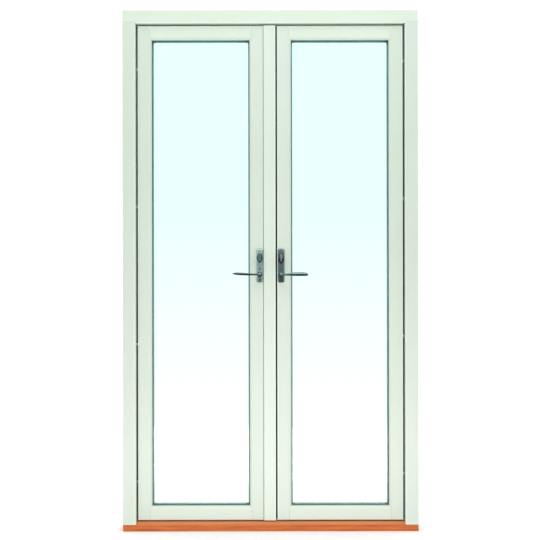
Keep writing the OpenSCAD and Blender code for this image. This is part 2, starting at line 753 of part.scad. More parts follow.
jamb_left();
jamb_right();
head();
threshold();
frame_seal();
strike_plates();
frame_hinge_flags();
hinge_pins();
frame_hinge_screws();
left_hinge_stile();
left_meeting_stile();
left_top_rail();
left_bottom_rail();
left_inner_pane();
left_outer_pane();
left_pane_spacer();
left_glazing_gaskets();
left_setting_blocks();
left_side_beads();
left_end_beads();
left_hinge_flags();
left_hinge_screws();
left_dog_bolts();
left_faceplate();
left_lock_case();
left_spindle();
left_lever();
left_thumb_turn();
left_handle_plate();
left_handle_screws();
left_upper_rod();
left_lower_rod();
centre_post();
post_seal();
post_screws();
right_hinge_stile();
right_meeting_stile();
right_top_rail();
right_bottom_rail();
right_inner_pane();
right_outer_pane();
right_pane_spacer();
right_glazing_gaskets();
right_setting_blocks();
right_side_beads();
right_end_beads();
right_hinge_flags();
right_hinge_screws();
right_dog_bolts();
right_faceplate();
right_lock_case();
right_spindle();
right_lever();
right_thumb_turn();
right_handle_plate();
right_handle_screws();
right_upper_rod();
right_lower_rod();
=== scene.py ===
import bpy
import bmesh
import math
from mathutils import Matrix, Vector


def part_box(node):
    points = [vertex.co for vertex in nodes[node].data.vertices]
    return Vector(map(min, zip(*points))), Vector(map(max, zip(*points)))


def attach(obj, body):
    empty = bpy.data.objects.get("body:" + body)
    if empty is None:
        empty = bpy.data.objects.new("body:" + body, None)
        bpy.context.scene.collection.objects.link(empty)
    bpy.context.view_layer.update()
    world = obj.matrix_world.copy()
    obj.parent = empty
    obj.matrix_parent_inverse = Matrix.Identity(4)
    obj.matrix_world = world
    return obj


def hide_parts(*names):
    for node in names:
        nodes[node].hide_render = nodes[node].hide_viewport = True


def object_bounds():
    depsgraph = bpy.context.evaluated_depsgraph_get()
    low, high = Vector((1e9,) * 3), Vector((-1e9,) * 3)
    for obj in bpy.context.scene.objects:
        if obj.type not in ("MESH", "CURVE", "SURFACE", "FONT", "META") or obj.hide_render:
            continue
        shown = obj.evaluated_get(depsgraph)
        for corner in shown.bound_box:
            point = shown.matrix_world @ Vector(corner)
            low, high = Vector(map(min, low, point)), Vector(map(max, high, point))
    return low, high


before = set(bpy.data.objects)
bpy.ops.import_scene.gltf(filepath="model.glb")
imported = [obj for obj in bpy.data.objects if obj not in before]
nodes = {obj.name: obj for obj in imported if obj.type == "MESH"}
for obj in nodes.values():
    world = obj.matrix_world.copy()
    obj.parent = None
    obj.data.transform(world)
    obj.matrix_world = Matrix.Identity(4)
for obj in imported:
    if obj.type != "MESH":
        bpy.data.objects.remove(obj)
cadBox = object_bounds()
scene = bpy.context.scene
print("frame loaded:", len(nodes), "nodes")

mm = 0.001
sides = {"left": -1, "right": 1}


# shader helpers

def addNode(tree, kind, **settings):
    node = tree.nodes.new(kind)
    for key, value in settings.items():
        if key in node.inputs:
            node.inputs[key].default_value = value
        else:
            setattr(node, key, value)
    return node


def setInputs(node, values):
    for key, value in values.items():
        node.inputs[key].default_value = value


def newGroup(name, inputs, outputs):
    # an effect that several materials share
    tree = bpy.data.node_groups.new(name, "ShaderNodeTree")
    kinds = {"f": "NodeSocketFloat", "c": "NodeSocketColor", "v": "NodeSocketVector"}
    for label, kind, value in inputs:
        socket = tree.interface.new_socket(label, in_out="INPUT", socket_type=kinds[kind])
        socket.default_value = value
    for label, kind in outputs:
        tree.interface.new_socket(label, in_out="OUTPUT", socket_type=kinds[kind])
    start = tree.nodes.new("NodeGroupInput")
    end = tree.nodes.new("NodeGroupOutput")
    return tree, start, end


def feed(tree, socket, value):
    # another node's output is linked, a number or colour is set
    if hasattr(value, "is_output"):
        tree.links.new(value, socket)
    else:
        socket.default_value = value


def mixColour(tree, factor, first, second):
    node = addNode(tree, "ShaderNodeMix", data_type="RGBA")
    colourInputs = [socket for socket in node.inputs if socket.type == "RGBA"]
    feed(tree, node.inputs[0], factor)
    feed(tree, colourInputs[0], first)
    feed(tree, colourInputs[1], second)
    return next(socket for socket in node.outputs if socket.type == "RGBA")


def doMath(tree, operation, first, second=0.0, third=0.0):
    node = addNode(tree, "ShaderNodeMath", operation=operation)
    for socket, value in zip(node.inputs, (first, second, third)):
        feed(tree, socket, value)
    return node.outputs[0]


def mapRange(tree, value, fromMin, fromMax, toMin, toMax):
    node = addNode(tree, "ShaderNodeMapRange")
    for label, limit in (("Value", value), ("From Min", fromMin), ("From Max", fromMax),
                         ("To Min", toMin), ("To Max", toMax)):
        feed(tree, node.inputs[label], limit)
    return node.outputs[0]


def noiseAt(tree, vector, scale, detail=2.0, roughness=0.5):
    node = addNode(tree, "ShaderNodeTexNoise", Detail=detail, Roughness=roughness)
    feed(tree, node.inputs["Vector"], vector)
    feed(tree, node.inputs["Scale"], scale)
    return node.outputs["Fac"]


def stretched(tree, along):
    # object position, and the same squeezed along the direction of the grain or the brush
    place = addNode(tree, "ShaderNodeTexCoord").outputs["Object"]
    scaled = addNode(tree, "ShaderNodeVectorMath", operation="MULTIPLY")
    feed(tree, scaled.inputs[0], place)
    feed(tree, scaled.inputs[1], along)
    return place, scaled.outputs[0]


def weighted(tree, *terms):
    # a sum of values, each with its share
    total = None
    for value, share in terms:
        part = doMath(tree, "MULTIPLY", value, share)
        total = part if total is None else doMath(tree, "ADD", total, part)
    return total


def cornerMask(tree, radius):
    # 1 along outer edges, where the painted edge highlight goes
    rounded = addNode(tree, "ShaderNodeBevel", samples=4, Radius=radius)
    flat = addNode(tree, "ShaderNodeNewGeometry")
    agree = addNode(tree, "ShaderNodeVectorMath", operation="DOT_PRODUCT")
    tree.links.new(rounded.outputs["Normal"], agree.inputs[0])
    tree.links.new(flat.outputs["Normal"], agree.inputs[1])
    return mapRange(tree, agree.outputs["Value"], 0.995, 0.90, 0.0, 1.0)


def creviceMask(tree, reach):
    # 0 in the open, 1 deep in seams and inner corners
    hollow = addNode(tree, "ShaderNodeAmbientOcclusion", samples=6, Distance=reach)
    return mapRange(tree, hollow.outputs["AO"], 0.92, 0.45, 0.0, 1.0)


def gapMask(tree):
    # 1 beside the gaps round the leaves, where the painted edge highlight is strongest
    inset, near = 4 * mm, 13 * mm
    frameEdge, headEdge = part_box("jamb_right")[0].x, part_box("head")[0].z
    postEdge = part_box("centre_post")[1].x
    split = addNode(tree, "ShaderNodeSeparateXYZ")
    place = addNode(tree, "ShaderNodeTexCoord")
    tree.links.new(place.outputs["Object"], split.inputs[0])
    across = doMath(tree, "ABSOLUTE", split.outputs["X"])
    below = doMath(tree, "LESS_THAN", split.outputs["Z"], headEdge - mm)
    upright = doMath(tree, "MULTIPLY", doMath(tree, "COMPARE", across, frameEdge - inset, near), below)
    middle = doMath(tree, "COMPARE", split.outputs["X"], postEdge + inset, near + mm)
    level = doMath(tree, "MULTIPLY", doMath(tree, "COMPARE", split.outputs["Z"], headEdge - inset, near),
                   doMath(tree, "LESS_THAN", across, frameEdge))
    return doMath(tree, "MAXIMUM", doMath(tree, "MAXIMUM", upright, middle), level)


# shared effects: texture scales are in cycles a metre, reaches in metres

coatEffect = {
    "edgeReach": 9 * mm, "seamReach": 4 * mm,
    "slow": 2.3, "streak": 260.0, "peel": 520.0,
    "awayFromGaps": 0.08,                        # what is left of the painted edge highlight elsewhere
}


def makeBrushedCoat():
    # a sprayed and brushed coat: soft peel, faint streaks along the member, slow changes of tone, a painted
    # highlight along outer edges and painted shade in seams and inner corners
    tree, start, end = newGroup("brushedCoat", [
        ("Colour", "c", (1, 1, 1, 1)), ("Shade", "c", (0.8, 0.8, 0.8, 1)), ("Along", "v", (1, 1, 0.05)),
        ("Tone", "f", 0.5), ("Sheen low", "f", 0.3), ("Sheen high", "f", 0.4),
        ("Edge highlight", "c", (1, 1, 1, 1)), ("Edges", "f", 0.5),
        ("Crevice shade", "c", (0.4, 0.4, 0.4, 1)), ("Seams", "f", 0.6)],
        [("Colour", "c"), ("Roughness", "f"), ("Height", "f")])
    value = start.outputs
    place, squeezed = stretched(tree, value["Along"])
    slow = noiseAt(tree, place, coatEffect["slow"], 3.0)
    streak = noiseAt(tree, squeezed, coatEffect["streak"], 3.0, 0.6)
    peel = noiseAt(tree, place, coatEffect["peel"], 1.5)
    tone = weighted(tree, (slow, 0.7), (streak, 0.3))
    amount = doMath(tree, "MULTIPLY", mapRange(tree, tone, 0.38, 0.62, 0.0, 1.0), value["Tone"])
    colour = mixColour(tree, amount, value["Colour"], value["Shade"])
    seams = creviceMask(tree, coatEffect["seamReach"])
    edge = cornerMask(tree, coatEffect["edgeReach"])
    edge = doMath(tree, "MULTIPLY", edge, doMath(tree, "SUBTRACT", 1.0, seams))
    nearGaps = mapRange(tree, gapMask(tree), 0.0, 1.0, coatEffect["awayFromGaps"], 1.0)
    edge = doMath(tree, "MULTIPLY", doMath(tree, "MULTIPLY", edge, nearGaps), value["Edges"])
    # painted highlight along outer edges, strongest beside the gaps
    colour = mixColour(tree, edge, colour, value["Edge highlight"])
    # painted shade in seams, inner corners and round the handle plates, found by occlusion
    colour = mixColour(tree, doMath(tree, "MULTIPLY", seams, value["Seams"]), colour, value["Crevice shade"])
    rough = mapRange(tree, streak, 0.3, 0.7, value["Sheen low"], value["Sheen high"])
    tree.links.new(colour, end.inputs["Colour"])
    tree.links.new(rough, end.inputs["Roughness"])
    tree.links.new(weighted(tree, (streak, 0.55), (peel, 0.45)), end.inputs["Height"])
    return tree


grainEffect = {"warp": 14.0, "fibres": 900.0, "pores": 1500.0, "poreDepth": 0.55}


def makeWoodGrain():
    # straight grain with growth bands, fine fibres and short dark pores, and a painted highlight on faces
    # that look up
    tree, start, end = newGroup("woodGrain", [
        ("Light", "c", (1, 1, 1, 1)), ("Dark", "c", (0.3, 0.2, 0.1, 1)),
        ("Pore", "c", (0.1, 0.05, 0.02, 1)),
        ("Along", "v", (0.04, 1, 1)), ("Bands", "f", 90.0),
        ("Top highlight", "c", (1, 1, 1, 1)), ("Top highlight share", "f", 0.5)],
        [("Colour", "c"), ("Roughness", "f"), ("Height", "f")])
    value = start.outputs
    squeezed = stretched(tree, value["Along"])[1]
    warp = noiseAt(tree, squeezed, grainEffect["warp"], 2.0)
    bands = noiseAt(tree, squeezed, value["Bands"], 4.0, 0.55)
    fibres = noiseAt(tree, squeezed, grainEffect["fibres"], 3.0, 0.7)
    pores = noiseAt(tree, squeezed, grainEffect["pores"], 1.0, 0.4)
    poreMask = mapRange(tree, pores, 0.60, 0.72, 0.0, 1.0)
    blend = weighted(tree, (bands, 0.6), (warp, 0.25), (fibres, 0.15))
    colour = mixColour(tree, mapRange(tree, blend, 0.38, 0.62, 0.0, 1.0), value["Light"], value["Dark"])
    poreShare = doMath(tree, "MULTIPLY", poreMask, grainEffect["poreDepth"])
    colour = mixColour(tree, poreShare, colour, value["Pore"])
    # faces that look up take a painted highlight, patchy along the grain
    facing = addNode(tree, "ShaderNodeSeparateXYZ")
    surface = addNode(tree, "ShaderNodeNewGeometry")
    tree.links.new(surface.outputs["Normal"], facing.inputs[0])
    upward = mapRange(tree, facing.outputs["Z"], 0.5, 0.9, 0.0, 1.0)
    patchy = mapRange(tree, warp, 0.3, 0.6, 0.7, 1.0)
    topHighlight = doMath(tree, "MULTIPLY", doMath(tree, "MULTIPLY", upward, patchy), value["Top highlight share"])
    colour = mixColour(tree, topHighlight, colour, value["Top highlight"])
    tree.links.new(colour, end.inputs["Colour"])
    tree.links.new(mapRange(tree, blend, 0.3, 0.7, 0.42, 0.58), end.inputs["Roughness"])
    tree.links.new(doMath(tree, "SUBTRACT", fibres, poreMask), end.inputs["Height"])
    return tree


metalEffect = {"clouds": 55.0, "scratches": 2600.0, "pits": 1900.0}


def makeMetalSkin():
    # a satin finish: fine scratches along one direction, cloudy polish and small pits
    tree, start, end = newGroup("metalSkin", [
        ("Colour", "c", (0.5, 0.5, 0.5, 1)), ("Tarnish", "c", (0.3, 0.3, 0.3, 1)),
        ("Along", "v", (1, 1, 0.1)),
        ("Clouding", "f", 0.4), ("Polish low", "f", 0.25), ("Polish high", "f", 0.4)],
        [("Colour", "c"), ("Roughness", "f"), ("Height", "f")])
    value = start.outputs
    place, squeezed = stretched(tree, value["Along"])
    clouds = noiseAt(tree, place, metalEffect["clouds"], 4.0, 0.6)
    scratches = noiseAt(tree, squeezed, metalEffect["scratches"], 2.0, 0.6)
    pits = noiseAt(tree, place, metalEffect["pits"], 1.0)
    cloudy = doMath(tree, "MULTIPLY", mapRange(tree, clouds, 0.35, 0.7, 0.0, 1.0), value["Clouding"])
    rough = weighted(tree, (clouds, 0.5), (scratches, 0.5))
    rough = mapRange(tree, rough, 0.35, 0.65, value["Polish low"], value["Polish high"])
    tree.links.new(mixColour(tree, cloudy, value["Colour"], value["Tarnish"]), end.inputs["Colour"])
    tree.links.new(rough, end.inputs["Roughness"])
    tree.links.new(doMath(tree, "ADD", scratches, doMath(tree, "MULTIPLY", pits, 0.4)), end.inputs["Height"])
    return tree


softEffect = {"grain": 1400.0, "dust": 38.0}


def makeSoftSkin():
    # rubber and moulded plastic: fine grain and patches of dust
    tree, start, end = newGroup("softSkin", [
        ("Colour", "c", (0.03, 0.03, 0.03, 1)), ("Dust", "c", (0.2, 0.2, 0.2, 1)), ("Dustiness", "f", 0.2)],
        [("Colour", "c"), ("Roughness", "f"), ("Height", "f")])
    value = start.outputs
    place = addNode(tree, "ShaderNodeTexCoord").outputs["Object"]
    dust = noiseAt(tree, place, softEffect["dust"], 5.0, 0.65)
    amount = doMath(tree, "MULTIPLY", mapRange(tree, dust, 0.45, 0.75, 0.0, 1.0), value["Dustiness"])
    tree.links.new(mixColour(tree, amount, value["Colour"], value["Dust"]), end.inputs["Colour"])
    tree.links.new(mapRange(tree, dust, 0.3, 0.7, 0.62, 0.8), end.inputs["Roughness"])
    tree.links.new(noiseAt(tree, place, softEffect["grain"], 2.0), end.inputs["Height"])
    return tree


def makePanePaintedReflection():
    # a cyan colour on a tall pane, stronger towards the top: painted reflection
    tree, start, end = newGroup("panePaintedReflection", [
        ("Top", "c", (1, 1, 1, 1)), ("Bottom", "c", (1, 1, 1, 1)), ("Low", "f", 0.1), ("High", "f", 2.0)],
        [("Colour", "c"), ("Roughness", "f")])
    value = start.outputs
    place = addNode(tree, "ShaderNodeTexCoord").outputs["Object"]
    split = addNode(tree, "ShaderNodeSeparateXYZ")
    tree.links.new(place, split.inputs[0])
    rise = mapRange(tree, split.outputs["Z"], value["Low"], value["High"], 0.0, 1.0)
    tree.links.new(mixColour(tree, rise, value["Bottom"], value["Top"]), end.inputs["Colour"])
    smear = noiseAt(tree, place, 3.0, 3.0)
    tree.links.new(mapRange(tree, smear, 0.4, 0.7, 0.0, 0.02), end.inputs["Roughness"])
    return tree


groups = {
    "coat": makeBrushedCoat(), "grain": makeWoodGrain(), "metal": makeMetalSkin(),
    "soft": makeSoftSkin(), "pane": makePanePaintedReflection(),
}
print("shared effects ready")


def surfaceMaterial(name, group, groupValues, bump, bumpDistance, shader):
    material = bpy.data.materials.new(name)
    material.use_nodes = True
    tree = material.node_tree
    principled = tree.nodes["Principled BSDF"]
    setInputs(principled, shader)
    effect = addNode(tree, "ShaderNodeGroup", node_tree=groups[group])
    setInputs(effect, groupValues)
    relief = addNode(tree, "ShaderNodeBump", Strength=bump, Distance=bumpDistance)
    tree.links.new(effect.outputs["Colour"], principled.inputs["Base Color"])
    tree.links.new(effect.outputs["Roughness"], principled.inputs["Roughness"])
    tree.links.new(effect.outputs["Height"], relief.inputs["Height"])
    tree.links.new(relief.outputs["Normal"], principled.inputs["Normal"])
    return material


# paint: a pale green white, the streaks follow each member
paintLook = {
    "colour": (0.655, 0.760, 0.655), "shade": (0.615, 0.720, 0.615), "tone": 0.5, "sheen": (0.26, 0.34),
    "edgeHighlight": (0.93, 1.0, 0.92, 1), "edges": 1.0, "creviceShade": (0.30, 0.36, 0.30, 1), "seams": 0.9,
    "bump": 0.12, "bumpDistance": 0.0004,
    "shader": {"Specular IOR Level": 0.45, "Coat Weight": 0.15, "Coat Roughness": 0.25},
}


def paintMaterial(name, along, lift):
    # lift makes one member a little lighter or darker than its neighbours: tone that differs from member to
    # member, and on the level members also painted light that makes up for the shade under the head
    return surfaceMaterial(name, "coat", {
        "Colour": [c * lift for c in paintLook["colour"]] + [1],
        "Shade": [c * lift for c in paintLook["shade"]] + [1],
        "Along": along, "Tone": paintLook["tone"],
        "Sheen low": paintLook["sheen"][0], "Sheen high": paintLook["sheen"][1],
        "Edge highlight": paintLook["edgeHighlight"], "Edges": paintLook["edges"],
        "Crevice shade": paintLook["creviceShade"], "Seams": paintLook["seams"]},
        paintLook["bump"], paintLook["bumpDistance"], paintLook["shader"])


upright, level = (1, 1, 0.03), (0.03, 1, 1)      # small along the member's length
paintJamb = paintMaterial("paintJamb", upright, 0.975)
paintUpright = paintMaterial("paintUpright", upright, 1.0)
paintLevel = paintMaterial("paintLevel", level, 1.035)
paintPost = paintMaterial("paintPost", upright, 1.05)

oiledSill = surfaceMaterial("oiledSill", "grain", {
    "Light": (0.66, 0.185, 0.038, 1), "Dark": (0.42, 0.082, 0.016, 1), "Pore": (0.24, 0.06, 0.02, 1),
    "Along": (0.045, 1, 1), "Bands": 120.0, "Top highlight": (0.93, 0.345, 0.135, 1), "Top highlight share": 0.8},
    0.35, 0.0005, {"Specular IOR Level": 0.4})


def satinMetal(name, colour, tarnish, along, polish, clouding=0.5):
    return surfaceMaterial(name, "metal", {
        "Colour": colour + (1,), "Tarnish": tarnish + (1,), "Along": along, "Clouding": clouding,
        "Polish low": polish[0], "Polish high": polish[1]}, 0.10, 0.0001, {"Metallic": 1.0})


# the handles are copies of one satin metal, lighter or darker as painted reflection: the left plate is
# painted pale and the right one dark, and grips and knob faces differ left to right the same way
plateBrush, gripBrush, unbrushed = (1, 1, 0.08), (0.08, 1, 1), (1, 1, 1)
plateMetal = {
    "left": satinMetal("satinPaintedLight", (0.68, 0.95, 0.99), (0.49, 0.75, 0.80), plateBrush, (0.30, 0.48)),
    "right": satinMetal("satinPaintedShade", (0.255, 0.39, 0.43), (0.17, 0.27, 0.31), plateBrush, (0.30, 0.48)),
}
# darker copies of the handle metal for rims and collars: painted shade
rimPaintedShade = {
    "left": satinMetal("rimPaintedShadeLeft", (0.13, 0.14, 0.17), (0.08, 0.09, 0.11), plateBrush, (0.28, 0.42)),
    "right": satinMetal("rimPaintedShadeRight", (0.12, 0.14, 0.17), (0.07, 0.085, 0.11), plateBrush, (0.28, 0.42)),
}
turnFace = {
    "left": satinMetal("turnFaceLeft", (0.30, 0.44, 0.49), (0.22, 0.34, 0.38), plateBrush, (0.22, 0.36)),
    "right": satinMetal("turnFaceRight", (0.55, 0.64, 0.60), (0.38, 0.46, 0.43), plateBrush, (0.22, 0.36)),
}
gripMetal = {
    "left": satinMetal("gripLeft", (0.20, 0.265, 0.24), (0.12, 0.17, 0.15), gripBrush, (0.14, 0.26)),
    "right": satinMetal("gripRight", (0.25, 0.37, 0.335), (0.15, 0.245, 0.215), gripBrush, (0.14, 0.26)),
}
# the domed end of the neck is a lighter copy of the grip metal: painted highlight
endPaintedHighlight = satinMetal("endPaintedHighlight", (0.52, 0.66, 0.60), (0.40, 0.52, 0.47), plateBrush,
                         (0.34, 0.46), 0.3)
screwSteel = satinMetal("screwSteel", (0.13, 0.085, 0.085), (0.07, 0.04, 0.045), unbrushed,
                        (0.30, 0.50), 0.8)
# the cross recess of the plate screws is painted bright and warm: painted highlight where a recess lies in
# shade
recessPaintedHighlight = satinMetal("recessPaintedHighlight", (0.85, 0.42, 0.32), (0.60, 0.25, 0.18), unbrushed, (0.45, 0.65), 0.5)
# the cross recess of the edge and strike screws is painted dark: painted shade
recessPaintedShade = satinMetal("recessPaintedShade", (0.10, 0.10, 0.10), (0.05, 0.05, 0.05), unbrushed, (0.35, 0.55), 0.8)
zincPlate = satinMetal("zincPlate", (0.72, 0.72, 0.69), (0.52, 0.54, 0.52), (1, 1, 0.2), (0.38, 0.55), 0.7)

sealRubber = surfaceMaterial("sealRubber", "soft", {
    "Colour": (0.012, 0.017, 0.013, 1), "Dust": (0.06, 0.075, 0.06, 1), "Dustiness": 0.35},
    0.2, 0.0002, {"Specular IOR Level": 0.35})

gasketRubber = surfaceMaterial("gasketRubber", "soft", {
    "Colour": (0.055, 0.150, 0.122, 1), "Dust": (0.12, 0.24, 0.20, 1), "Dustiness": 0.5},
    0.2, 0.0002, {"Specular IOR Level": 0.35})

cornerKey = surfaceMaterial("cornerKey", "soft", {
    "Colour": (0.10, 0.19, 0.165, 1), "Dust": (0.16, 0.25, 0.22, 1), "Dustiness": 0.3},
    0.1, 0.0001, {"Specular IOR Level": 0.4})

spacerBar = surfaceMaterial("spacerBar", "metal", {
    "Colour": (0.26, 0.50, 0.43, 1), "Tarnish": (0.17, 0.38, 0.32, 1), "Along": unbrushed,
    "Clouding": 0.5, "Polish low": 0.45, "Polish high": 0.6}, 0.05, 0.0001, {"Metallic": 0.6})

glassLook = {
    "top": (0.857, 0.998, 0.998, 1), "bottom": (1.0, 1.0, 1.0, 1),
    "full": 0.62,                                # share of the pane's height where the painted reflection is full
    "shader": {"Transmission Weight": 1.0, "IOR": 1.46, "Metallic": 0.0},
}


def glassMaterial(name):
    # clear float glass that lets lamp light through
    material = bpy.data.materials.new(name)
    material.use_nodes = True
    tree = material.node_tree
    principled = tree.nodes["Principled BSDF"]
    setInputs(principled, glassLook["shader"])
    low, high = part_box("left_inner_pane")
    # the pane's cyan colour towards the top is painted reflection
    paneReflection = addNode(tree, "ShaderNodeGroup", node_tree=groups["pane"])
    setInputs(paneReflection, {"Top": glassLook["top"], "Bottom": glassLook["bottom"], "Low": low.z,
                     "High": low.z + glassLook["full"] * (high.z - low.z)})
    tree.links.new(paneReflection.outputs["Colour"], principled.inputs["Base Color"])
    tree.links.new(paneReflection.outputs["Roughness"], principled.inputs["Roughness"])
    clear = addNode(tree, "ShaderNodeBsdfTransparent")
    path = addNode(tree, "ShaderNodeLightPath")
    either = addNode(tree, "ShaderNodeMixShader")
    tree.links.new(path.outputs["Is Shadow Ray"], either.inputs[0])
    tree.links.new(principled.outputs[0], either.inputs[1])
    tree.links.new(clear.outputs[0], either.inputs[2])
    tree.links.new(either.outputs[0], tree.nodes["Material Output"].inputs["Surface"])
    return material


floatGlass = glassMaterial("floatGlass")
print("materials ready")


def dress(node, material):
    mesh = nodes[node].data
    mesh.materials.clear()
    mesh.materials.append(material)


cadLooks = {
    "jamb_left": paintJamb, "jamb_right": paintJamb, "head": paintLevel, "threshold": oiledSill,
    "strike_plates": zincPlate, "frame_hinge_flags": zincPlate, "hinge_pins": zincPlate,
    "frame_hinge_screws": zincPlate, "frame_seal": sealRubber, "post_seal": sealRubber,
    "centre_post": paintPost, "post_screws": zincPlate,
}
leafLooks = {
    "hinge_stile": paintUpright, "meeting_stile": paintUpright, "top_rail": paintLevel,
    "bottom_rail": paintLevel, "side_beads": paintUpright, "end_beads": paintLevel,
    "inner_pane": floatGlass, "outer_pane": floatGlass, "pane_spacer": spacerBar,
    "glazing_gaskets": gasketRubber, "setting_blocks": sealRubber, "hinge_flags": zincPlate,
    "hinge_screws": zincPlate, "dog_bolts": zincPlate, "faceplate": zincPlate, "lock_case": zincPlate,
    "spindle": zincPlate, "upper_rod": zincPlate, "lower_rod": zincPlate,
    # the finer handles below stand in for these
    "lever": plateMetal["left"], "thumb_turn": plateMetal["left"], "handle_plate": plateMetal["left"],
    "handle_screws": screwSteel,
}
for node, material in cadLooks.items():
    dress(node, material)
for side in sides:
    for part, material in leafLooks.items():
        dress(f"{side}_{part}", material)
print("construction pieces dressed")


# mesh helpers

def pieceFromRings(name, rings, material, closed=False, caps=True):
    # rings of equal length joined by quads, the ends capped by fans to their middles
    mesh = bpy.data.meshes.new(name)
    bm = bmesh.new()
    rows = [[bm.verts.new(p) for p in ring] for ring in rings]
    count = len(rows[0])
    pairs = list(zip(rows, rows[1:])) + ([(rows[-1], rows[0])] if closed else [])
    for first, second in pairs:
        for i in range(count):
            j = (i + 1) % count
            bm.faces.new((first[i], first[j], second[j], second[i]))
    if caps and not closed:
        for row in (rows[0], rows[-1]):
            middle = bm.verts.new(sum((v.co for v in row), Vector()) / count)
            for i in range(count):
                bm.faces.new((row[i], row[(i + 1) % count], middle))
    bmesh.ops.recalc_face_normals(bm, faces=bm.faces)
    for face in bm.faces:
        face.smooth = True
    bm.to_mesh(mesh)
    bm.free()
    mesh.materials.append(material)
    piece = bpy.data.objects.new(name, mesh)
    scene.collection.objects.link(piece)
    return piece


def sharpen(piece, degrees):
    # edges that turn by more than this stay crisp on a smooth piece
    bm = bmesh.new()
    bm.from_mesh(piece.data)
    for edge in bm.edges:
        edge.smooth = len(edge.link_faces) != 2 or edge.calc_face_angle(0) <= math.radians(degrees)
    bm.to_mesh(piece.data)
    bm.free()


def paintRings(piece, count, bands, material):
    # gives whole bands of quads a second finish
    if material.name not in piece.data.materials:
        piece.data.materials.append(material)
    slotIndex = list(piece.data.materials).index(material)
    for polygon in piece.data.polygons:
        if polygon.index // count in bands:
            polygon.material_index = slotIndex


def joinPieces(name, pieces):
    if len(pieces) > 1:
        bpy.ops.object.select_all(action="DESELECT")
        for piece in pieces:
            piece.select_set(True)
        bpy.context.view_layer.objects.active = pieces[0]
        bpy.ops.object.join()
    pieces[0].name = name
    pieces[0].data.name = name
    return pieces[0]


def ovalRing(centre, wide, tall, count=48):
    # a ring that faces the room
    angles = [2 * math.pi * i / count for i in range(count)]
    return [Vector((centre[0] + wide * math.cos(a), centre[1], centre[2] + tall * math.sin(a)))
            for a in angles]


def frameFrom(x0, x1, z0, z1, corner=0.0):
    # stations round a rectangle, each with its outward direction; corner adds stations beside the corners
    stations = []
    for cx, cz, dx, dz in ((x0, z0, -1, -1), (x1, z0, 1, -1), (x1, z1, 1, 1), (x0, z1, -1, 1)):
        if not corner:
            stations.append((cx, cz, dx, dz))
            continue
        onUpright = (cx, cz - dz * corner, dx, 0)
        onLevel = (cx - dx * corner, cz, 0, dz)
        arms = (onUpright, onLevel) if dx == dz else (onLevel, onUpright)
        stations += [arms[0], (cx, cz, dx, dz), arms[1]]
    return stations


def sweepProfile(name, stations, profile, material, closed=True):
    # profile points are (outwards, depth) in millimetres
    rings = [[Vector((x + dx * out * mm, y * mm, z + dz * out * mm)) for out, y in profile]
             for x, z, dx, dz in stations]
    piece = pieceFromRings(name, rings, material, closed=closed, caps=not closed)
    sharpen(piece, 32)
    return piece


# seals and glazing: profile points are (outwards, depth) in millimetres
seal = {
    "bulb": ((-1.4, 51.0), (1.4, 51.0), (1.4, 55.0), (4.0, 55.0), (4.0, 55.7), (3.2, 56.0), (3.0, 57.0),
             (2.2, 58.2), (0.9, 58.7), (-0.9, 58.7), (-2.2, 58.2), (-3.0, 57.0), (-3.2, 56.0),
             (-4.0, 55.7), (-4.0, 55.0), (-1.4, 55.0)),
    "narrower": 0.75,                            # the post's strip beside the frame's
    "drop": ((0.0, 52.6), (0.9, 52.8), (2.4, 53.6), (4.0, 55.0), (5.0, 56.6), (5.2, 58.0), (5.2, 58.9),
             (0.0, 58.9)),
    "dropFoot": 6.5 * mm, "dropTop": 5.5 * mm,   # clear of the threshold and of the head
    "edgeGap": 6 * mm,                           # between a leaf and what stands beside it
}
glazing = {
    "gasket": ((9.0, 0.0), (0.0, 0.0), (-1.0, 0.15), (-2.0, 0.7), (-2.7, 1.6), (-3.0, 2.5), (-3.0, 3.0),
               (9.0, 3.0)),
    "bar": ((-7.0, 58.1), (-13.6, 58.1), (-15.0, 59.6), (-15.0, 62.2), (-14.6, 62.7), (-14.6, 69.3),
            (-15.0, 69.8), (-15.0, 72.4), (-13.6, 73.9), (-7.0, 73.9)),
    "butyl": ((0.0, 58.1), (-7.0, 58.1), (-7.0, 73.9), (0.0, 73.9)),
    "bite": 9 * mm,                              # how far the frame covers the pane
    "roomFace": 51, "backFace": 81,              # depths where the gaskets lie against the timber
    "key": 24 * mm,                              # arm of a corner key
    "keyBands": (0, 1, 3, 4, 6, 7, 9, 10),       # the stretches of the bar beside its corners
}


def buildFrameSeal():
    low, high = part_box("frame_seal")
    half = max(out for out, depth in seal["bulb"]) * mm
    ring = frameFrom(low.x + half, high.x - half, low.z + half, high.z - half)
    piece = sweepProfile("bulbSeal", ring, seal["bulb"], sealRubber)
    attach(piece, "frame")
    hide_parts("frame_seal")
    low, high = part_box("post_seal")
    middle = (low.x + high.x) / 2
    narrow = [(out * seal["narrower"], depth) for out, depth in seal["bulb"]]
    line = [(middle, low.z, 1, 0), (middle, high.z, 1, 0)]
    piece = sweepProfile("postBulbSeal", line, narrow, sealRubber, False)
    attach(piece, "left_leaf")
    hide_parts("post_seal")


def buildSealsAndGapShade(side, sign):
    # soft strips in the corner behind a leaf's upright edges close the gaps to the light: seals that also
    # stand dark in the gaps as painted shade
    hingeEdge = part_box("jamb_right")[0].x - seal["edgeGap"]
    strips = [(sign * hingeEdge, sign)]
    if side == "right":
        strips.append((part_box("centre_post")[1].x + seal["edgeGap"], -1))
    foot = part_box("threshold")[1].z + seal["dropFoot"]
    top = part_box("head")[0].z - seal["dropTop"]
    pieces = []
    for index, (x, out) in enumerate(strips):
        line = [(x, foot, out, 0), (x, top, out, 0)]
        pieces.append(sweepProfile(f"{side}_strip{index}", line, seal["drop"], sealRubber, False))
    strip = joinPieces(f"{side}_sealsAndGapShade", pieces)
    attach(strip, f"{side}_leaf")


